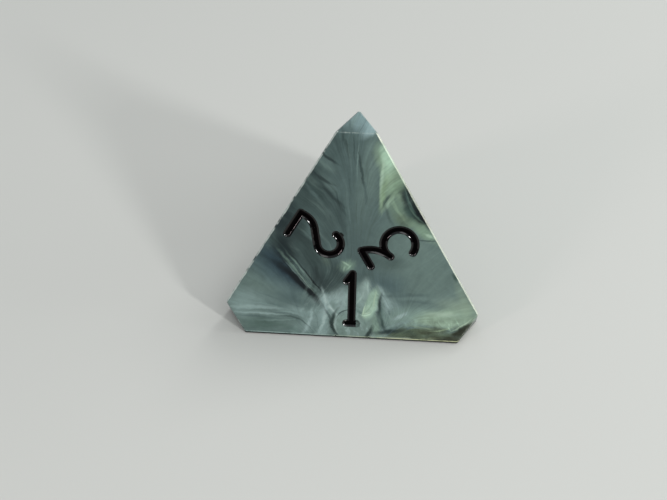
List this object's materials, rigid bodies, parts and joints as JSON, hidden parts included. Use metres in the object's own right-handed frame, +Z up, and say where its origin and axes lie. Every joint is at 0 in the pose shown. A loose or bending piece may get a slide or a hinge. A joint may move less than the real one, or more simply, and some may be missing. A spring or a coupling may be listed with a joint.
{
  "type": "four-sided die",
  "caption": "Tetrahedral game die with cut-off corners and ink-filled engraved numerals along the edges of every face.",
  "frame": {"origin": "middle of the face that the die lies on", "axes": "+Z up through the middle of the die and the cut corner on top, +X along the front bottom edge, to the right as seen from the front, -Y towards the front"},
  "size_m": [0.0184, 0.0168, 0.0151],
  "materials": {
    "resin": "satin, marbled",
    "ink": "gloss"
  },
  "bodies": {
    "root": {"body": "resin", "ink_front_bottom": "ink", "ink_front_right": "ink", "ink_front_left": "ink", "ink_right_bottom": "ink", "ink_right_right": "ink", "ink_right_left": "ink", "ink_left_bottom": "ink", "ink_left_right": "ink", "ink_left_left": "ink", "ink_base_bottom": "ink", "ink_base_right": "ink", "ink_base_left": "ink"}
  },
  "joints": []
}
